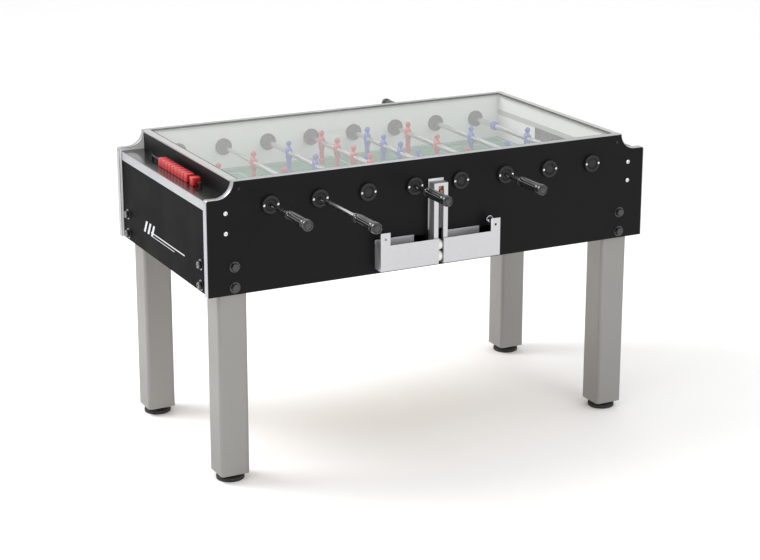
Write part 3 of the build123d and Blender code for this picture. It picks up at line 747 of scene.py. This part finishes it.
def makeFigure(shape):
    figure = bmesh.new()
    trunk = [(height, 0.0, width, depth) for height, width, depth in shape["body"]]
    joinInto(figure, ringStack(trunk, shape["ringSteps"]))
    for side in (-1, 1):
        arm = [(height, side * out, half, half) for height, out, half in shape["arm"]]
        joinInto(figure, ringStack(arm, 10))
    joinInto(figure, ellipsoid(shape["headRadii"], shape["headHeight"]))
    joinInto(figure, ellipsoid(shape["hairRadii"], shape["hairHeight"]))
    nose = ellipsoid(shape["noseRadii"], shape["noseHeight"], 8)
    joinInto(figure, nose, Matrix.Translation((shape["noseReach"] * mm, 0.0, 0.0)))
    return figure


def makeStopRing(half):
    bore, shoulder, radius = stopRing["bore"], stopRing["shoulder"], stopRing["radius"]
    chamfer, waist = stopRing["chamfer"], stopRing["waist"]
    return spun([
        (bore, -half), (shoulder, -half), (radius, chamfer - half), (radius, -2.0), (waist, -1.4),
        (waist, 1.4), (radius, 2.0), (radius, half - chamfer), (shoulder, half), (bore, half),
        (bore, -half),
    ], 40)


def makePlayers(number, team):
    node = f"rod_{number}_players"
    x, z = rodAxis(number)
    figure = makeFigure(playerShape)
    template = bpy.data.meshes.new("playerTemplate")
    figure.to_mesh(template)
    figure.free()
    towards = 0.0 if team is teamRed else math.pi
    line = bmesh.new()
    for low, high in islands(node):
        y = (low.y + high.y) / 2
        if high.z - low.z > playerShape["figureAbove"] * mm:
            copy = bmesh.new()
            copy.from_mesh(template)
            joinInto(line, copy, Matrix.Translation((x, y, z)) @ Matrix.Rotation(towards, 4, "Z"))
        else:
            ring = makeStopRing((high.y - low.y) / 2 / mm)
            joinInto(line, ring, facing((x, y, z), (0, 1, 0)))
    bpy.data.meshes.remove(template)
    makePiece(f"rod_{number}_figures", line, team, f"rod_{number}", [node], 50.0)


for number, team in rodTeams.items():
    makePlayers(number, team)
print("players made")


# rod bushings: ringed flanges inside and outside, capped on the side away from the handle

flangeShape = {
    "steps": 56, "rimRadius": 26.0, "sleeveRadius": 14.0, "inner": 8.0, "panel": 20.0, "outer": 10.0,
    "face": 0.4, "ridges": 5, "ridgeFrom": 12.6, "ridgePitch": 1.15, "ridgeDepth": 0.5,
    "openBore": 8.1, "capBore": 5.6, "pocket": (9.4, 5.0), "hubRadius": 12.0,
}


def flangeProfile(shape, handled):
    wall = shape["inner"] + shape["panel"]
    top = wall + shape["outer"]
    face = top - shape["face"]
    rim = shape["rimRadius"]
    bore = shape["openBore"] if handled else shape["capBore"]
    sleeve = shape["sleeveRadius"]
    points = [
        (bore, 0.8), (bore + 0.8, 0.0), (12.6, 0.0), (13.6, 1.0), (21.5, 1.0), (22.4, 0.4), (24.6, 0.4),
        (rim, 1.8), (rim, shape["inner"]), (sleeve, shape["inner"]),
        (sleeve, wall), (rim, wall), (rim, face - 1.6), (rim - 0.7, face - 0.4), (rim - 2, face),
    ]
    for number in reversed(range(shape["ridges"])):
        radius = shape["ridgeFrom"] + number * shape["ridgePitch"]
        root = face - shape["ridgeDepth"]
        points += [(radius + 0.8, face), (radius + 0.5, root), (radius + 0.1, root)]
    points += [(shape["hubRadius"], face), (shape["hubRadius"] - 0.6, top)]
    if handled:
        points += [(bore + 0.8, top), (bore, top - 0.8), (bore, 0.8)]
    else:
        radius, depth = shape["pocket"]
        pocket = [(0.0, wall), (radius, wall), (radius, wall - depth), (bore, wall - depth)]
        points = pocket + points + [(10.2, top), (9.6, top - 0.7), (0.0, top - 0.7)]
    return points


def makeFlanges():
    mesh = bmesh.new()
    innerFace = sideInner - flangeShape["inner"] * mm
    for number in rodNumbers:
        x, z = rodAxis(number)
        handleSide = -1 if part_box(f"rod_{number}_handle")[0].y < 0 else 1
        for side in (-1, 1):
            part = spun(flangeProfile(flangeShape, side == handleSide), flangeShape["steps"])
            joinInto(mesh, part, facing((x, side * innerFace, z), (0, side, 0)))
    makePiece("rod_flanges", mesh, mouldedPlastic, "root", ["rod_bushings"], 26.0)


makeFlanges()
print("flanges made")


# screws: socket heads at the panel corners, small domes on the flanges and under the rails

screwShape = {
    "radius": 7.0, "socketRadius": 3.3, "socketDepth": 2.4, "steps": 24, "sink": 0.6,
    "deeperThan": 3.0,  # heads this deep have a socket
    "flangeRoom": 5.0, "flangeSink": 0.4, "railSink": 0.3, "domeSteps": 20,
}


def socketHead(radius, height, shape):
    socket, floor, sink = shape["socketRadius"], height - shape["socketDepth"], shape["sink"]
    mesh = spun([
        (0.0, floor), (socket, floor), (socket, height), (radius * 0.62, height * 0.97),
        (radius * 0.9, height * 0.62), (radius, height * 0.15), (radius, -sink), (0.0, -sink),
    ], shape["steps"])
    # the socket's rings are pulled in to a hexagon
    for vert in mesh.verts:
        reach = math.hypot(vert.co.x, vert.co.y)
        if abs(reach - socket * mm) < 0.01 * mm:
            turn = (math.atan2(vert.co.y, vert.co.x) % (math.pi / 3)) - math.pi / 6
            pulledTo(vert, math.cos(math.pi / 6) / math.cos(turn))
    return mesh


def domeHead(radius, height, sink):
    return spun([
        (0.0, height - 0.35), (radius * 0.3, height - 0.3), (radius * 0.42, height),
        (radius * 0.75, height * 0.8), (radius, height * 0.3), (radius, -sink), (0.0, -sink),
    ], screwShape["domeSteps"])


def makeScrews():
    bright, dark = bmesh.new(), bmesh.new()
    for low, high in islands("panel_screws"):
        side = -1 if low.y < 0 else 1
        across = (high.z - low.z) / 2 / mm
        depth = (high.y - low.y) / mm
        centre = Vector(((low.x + high.x) / 2, high.y if side < 0 else low.y, (low.z + high.z) / 2))
        place = facing(centre, (0, side, 0))
        onFlange = abs(centre.y) > sideInner + (flangeShape["panel"] + screwShape["flangeRoom"]) * mm
        if depth > screwShape["deeperThan"]:
            joinInto(bright, socketHead(screwShape["radius"], depth, screwShape), place)
        elif onFlange:
            sink = flangeShape["face"] + screwShape["flangeSink"]
            joinInto(bright, domeHead(across, depth, sink), place)
        else:
            joinInto(dark, domeHead(across, depth, screwShape["railSink"]), place)
    makePiece("panel_screw_heads", bright, brightSteel, "root", ["panel_screws"])
    makePiece("rail_screw_heads", dark, mouldedPlastic, "root")


makeScrews()
print("screws made")


# leg fasteners: lobed knobs on washers, and a locknut on each stud

knobShape = {
    "lobes": 6, "lobeDepth": 1.5, "lobesFrom": 9.8, "radius": 12.0, "height": 9.0, "steps": 60,
    "nutRadius": 25.0, "nutWiderThan": 40.0, "washerUnder": 5.0, "roundSteps": 48,
}


def lobedKnob(height, shank, shape):
    radius = shape["radius"]
    mesh = spun([
        (0.0, height - 1.2), (4.6, height - 1.2), (5.4, height - 0.2), (7.4, height),
        (radius - 1.8, height - 0.4), (radius - 0.5, height - 1.6), (radius, height - 3.2), (radius, 1.4),
        (radius - 0.6, 0.4), (9.6, 0.0), (5.0, 0.0), (5.0, -shank), (0.0, -shank),
    ], shape["steps"])
    for vert in mesh.verts:
        reach = math.hypot(vert.co.x, vert.co.y) / mm
        if reach > shape["lobesFrom"]:
            wave = math.cos(shape["lobes"] * math.atan2(vert.co.y, vert.co.x))
            pulledTo(vert, 1.0 - shape["lobeDepth"] * (0.5 - 0.5 * wave) / reach)
    return mesh


def makeFasteners():
    dark, bright = bmesh.new(), bmesh.new()
    nutSpan, thin = knobShape["nutWiderThan"] * mm, knobShape["washerUnder"] * mm
    height, steps = knobShape["height"], knobShape["roundSteps"]
    for low, high in islands("leg_fasteners"):
        size = high - low
        centre = (low + high) / 2
        if size.x > nutSpan and size.y > nutSpan:
            half = size.z / 2 / mm
            radius = knobShape["nutRadius"]
            nut = spun([
                (6.05, -half), (radius - 1.4, -half), (radius, 1.4 - half), (radius, half - 1.4),
                (radius - 1.4, half), (6.05, half), (6.05, -half),
            ], steps)
            joinInto(bright, nut, Matrix.Translation(centre))
            continue
        axis = 0 if size.x < thin or (size.x > size.y and size.y > thin) else 1
        sign = 1 if centre[axis] > 0 else -1
        direction = Vector((0.0, 0.0, 0.0))
        direction[axis] = sign
        outer = centre.copy()
        if size[axis] < thin:
            outer[axis] = low[axis] if sign > 0 else high[axis]
            part = spun([
                (5.3, 0.0), (15.6, 0.0), (16.0, 0.5), (16.0, 1.2), (15.2, 1.9), (5.3, 2.0), (5.3, 0.0),
            ], steps)
        else:
            outer[axis] = (high[axis] if sign > 0 else low[axis]) - sign * height * mm
            part = lobedKnob(height, size[axis] / mm - height, knobShape)
        joinInto(dark, part, facing(outer, direction))
    makePiece("leg_knobs", dark, gripPlastic, "root", ["leg_fasteners"])
    makePiece("foot_locknuts", bright, brightSteel, "root")


makeFasteners()
print("leg fasteners made")


# feet: a moulded pad with a gripping groove, on a threaded stud

footShape = {
    "padRadius": 41.0, "padHeight": 12.0, "steps": 56,
    "studRadius": 6.0, "threadPitch": 2.0, "threadDepth": 0.6,
}


def makeFoot(node):
    low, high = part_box(node)
    centre = Vector(((low.x + high.x) / 2, (low.y + high.y) / 2, low.z))
    radius, height = footShape["padRadius"], footShape["padHeight"]
    stud, pitch = footShape["studRadius"], footShape["threadPitch"]
    profile = [
        (0.0, 0.0), (radius - 2.5, 0.0), (radius - 0.6, 0.9), (radius, 2.6), (radius, 5.2),
        (radius - 1.4, 5.9), (radius - 1.4, 6.9), (radius, 7.6), (radius - 0.4, 9.4), (radius - 3.0, 11.4),
        (radius - 6.0, height), (stud + 3.0, height), (stud, height),
    ]
    top = (high.z - low.z) / mm
    level = height
    while level + pitch < top:
        profile += [(stud - footShape["threadDepth"], level + pitch / 2), (stud, level + pitch)]
        level += pitch
    profile += [(stud - 1.0, top), (0.0, top)]
    mesh = spun(profile, footShape["steps"])
    bmesh.ops.translate(mesh, vec=centre, verts=mesh.verts)
    makePiece(f"{node}_pad", mesh, padRubber, node, [node])


for end in ("left", "right"):
    for side in ("front", "rear"):
        makeFoot(f"foot_{side}_{end}")
print("feet made")


# score beads: a block with a smaller shoulder at each end

beadShape = {"shoulder": 1.0, "inset": 2.2, "round": 1.6}


def makeBead(low, high):
    size = high - low
    shoulder = beadShape["shoulder"] * mm
    mesh = plainBlock((size.x, size.y - 2 * shoulder, size.z))
    ends = [f for f in mesh.faces if abs(f.normal.y) > 0.9]
    for end in ends:
        bmesh.ops.inset_region(mesh, faces=[end], thickness=beadShape["inset"] * mm)
        outwards = Vector((0.0, math.copysign(shoulder, end.calc_center_median().y), 0.0))
        made = bmesh.ops.extrude_face_region(mesh, geom=[end])
        bmesh.ops.translate(mesh, vec=outwards, verts=newVerts(made))
        bmesh.ops.delete(mesh, geom=[end], context="FACES_ONLY")
    roundEdges(mesh, edgesSharperThan(mesh, 30.0), beadShape["round"] * mm, 3)
    bmesh.ops.translate(mesh, vec=(low + high) / 2, verts=mesh.verts)
    return mesh


def makeBeads(node, body, material):
    mesh = bmesh.new()
    for low, high in islands(node):
        joinInto(mesh, makeBead(low, high))
    makePiece(f"{node}_blocks", mesh, material, body, [node])


for end, material, slot in (("left", teamRed, "team_red"), ("right", teamBlue, "team_blue")):
    makeBeads(f"score_beads_{end}", f"score_stack_{end}", material)
    makeBeads(f"score_last_bead_{end}", f"score_last_{end}", material)
print("beads made")


# balls, lock, gasket and glass clip

def makeBalls():
    mesh = bmesh.new()
    for low, high in islands("game_balls"):
        ball = bmesh.new()
        bmesh.ops.create_icosphere(ball, subdivisions=4, radius=(high.x - low.x) / 2)
        joinInto(mesh, ball, Matrix.Translation((low + high) / 2))
    makePiece("play_balls", mesh, ballWhite, "root", ["game_balls"])


lockShape = {"radius": 11.0, "steps": 44, "keyway": (2.4, 8.0, 0.6), "keywayRound": 0.2, "faceInset": 1.2}


def makeLock():
    low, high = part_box("tray_lock")
    centre = Vector(((low.x + high.x) / 2, high.y, (low.z + high.z) / 2))
    length = (high.y - low.y) / mm
    radius = lockShape["radius"]
    face = length - lockShape["faceInset"]
    mesh = spun([
        (0.0, 0.0), (radius - 1.5, 0.0), (radius - 1.5, length - 6.0), (radius, length - 5.0),
        (radius, length - 1.2), (radius - 1.0, length - 0.2), (8.6, length), (7.9, face), (0.0, face),
    ], lockShape["steps"])
    bmesh.ops.transform(mesh, matrix=facing(centre, (0, -1, 0)), verts=mesh.verts)
    makePiece("tray_lock_barrel", mesh, brightSteel, "tray_lock", ["tray_lock"])
    # painted shade: a near-black block stands in for the shade inside the key slot
    width, height, depth = (value * mm for value in lockShape["keyway"])
    slot = easedBlock((width, depth, height), lockShape["keywayRound"] * mm)
    place = (centre.x, low.y + lockShape["faceInset"] * mm, centre.z)
    bmesh.ops.translate(slot, vec=place, verts=slot.verts)
    makePiece("tray_lock_keyway_shade", slot, mouldedPlastic, "tray_lock")


gasketShape = {"width": 2.6, "depth": 5.0, "rise": 0.6}


def rectangleRing(halfX, halfY, width, bottom, top):
    mesh = bmesh.new()
    bmesh.ops.create_grid(mesh, x_segments=1, y_segments=1, size=1.0)
    bmesh.ops.scale(mesh, vec=(halfX, halfY, 1.0), verts=mesh.verts)
    bmesh.ops.translate(mesh, vec=(0.0, 0.0, bottom), verts=mesh.verts)
    middle = mesh.faces[:]
    bmesh.ops.inset_region(mesh, faces=middle, thickness=width, use_boundary=True, use_even_offset=True)
    bmesh.ops.delete(mesh, geom=middle, context="FACES")
    made = bmesh.ops.extrude_face_region(mesh, geom=mesh.faces[:])
    bmesh.ops.translate(mesh, vec=(0.0, 0.0, top - bottom), verts=newVerts(made))
    return mesh


def makeGasket():
    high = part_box("glass_top")[1]
    width = gasketShape["width"] * mm
    top = high.z + gasketShape["rise"] * mm
    bottom = top - gasketShape["depth"] * mm
    mesh = rectangleRing(high.x + width, high.y + width, width, bottom, top)
    makePiece("glass_gasket", mesh, padRubber, "root")


clipShape = {"x": -0.045, "size": (14.0, 9.0, 3.0), "round": 0.8}


def makeClip():
    low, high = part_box("side_panel_rear")
    size = [value * mm for value in clipShape["size"]]
    mesh = easedBlock(size, clipShape["round"] * mm, 3)
    place = (clipShape["x"], low.y + size[1] / 4, high.z + size[2] / 3)
    bmesh.ops.translate(mesh, vec=place, verts=mesh.verts)
    makePiece("glass_clip", mesh, brightSteel, "root")


makeBalls()
makeLock()
makeGasket()
makeClip()
print("small parts made")


# floor and light

stageLook = {
    "floorSize": 60.0, "floorColour": (0.97, 0.97, 0.97), "skyStrength": 1.0,
    "lights": [
        {
            "name": "keyPanel", "place": (-2.6, 1.6, 3.6), "aim": (0.1, 0.0, 0.6),
            "size": 2.4, "power": 120.0,
        },
        {
            "name": "frontPanel", "place": (1.5, -4.5, 2.4), "aim": (0.0, 0.0, 0.7),
            "size": 2.6, "power": 45.0,
        },
    ],
}


def makeStage(look):
    mesh = bmesh.new()
    bmesh.ops.create_grid(mesh, x_segments=1, y_segments=1, size=look["floorSize"] / 2)
    data = bpy.data.meshes.new("studioFloor")
    mesh.to_mesh(data)
    mesh.free()
    floor = bpy.data.objects.new("studioFloor", data)
    bpy.context.scene.collection.objects.link(floor)
    paper = {"Base Color": rgba(look["floorColour"]), "Roughness": 0.7, "Specular IOR Level": 0.2}
    data.materials.append(startMaterial("studioFloor", paper)[0])
    world = bpy.data.worlds.new("studioSky")
    world.use_nodes = True
    sky = world.node_tree.nodes["Background"]
    sky.inputs[0].default_value = (1.0, 1.0, 1.0, 1.0)
    sky.inputs[1].default_value = look["skyStrength"]
    bpy.context.scene.world = world
    for lamp in look["lights"]:
        data = bpy.data.lights.new(lamp["name"], "AREA")
        data.shape = "DISK"
        data.size = lamp["size"]
        data.energy = lamp["power"]
        light = bpy.data.objects.new(lamp["name"], data)
        light.location = lamp["place"]
        aim = Vector(lamp["aim"]) - Vector(lamp["place"])
        light.rotation_euler = aim.to_track_quat("-Z", "Y").to_euler()
        bpy.context.scene.collection.objects.link(light)
    bpy.context.scene.view_settings.view_transform = "Standard"


makeStage(stageLook)
print("stage ready")
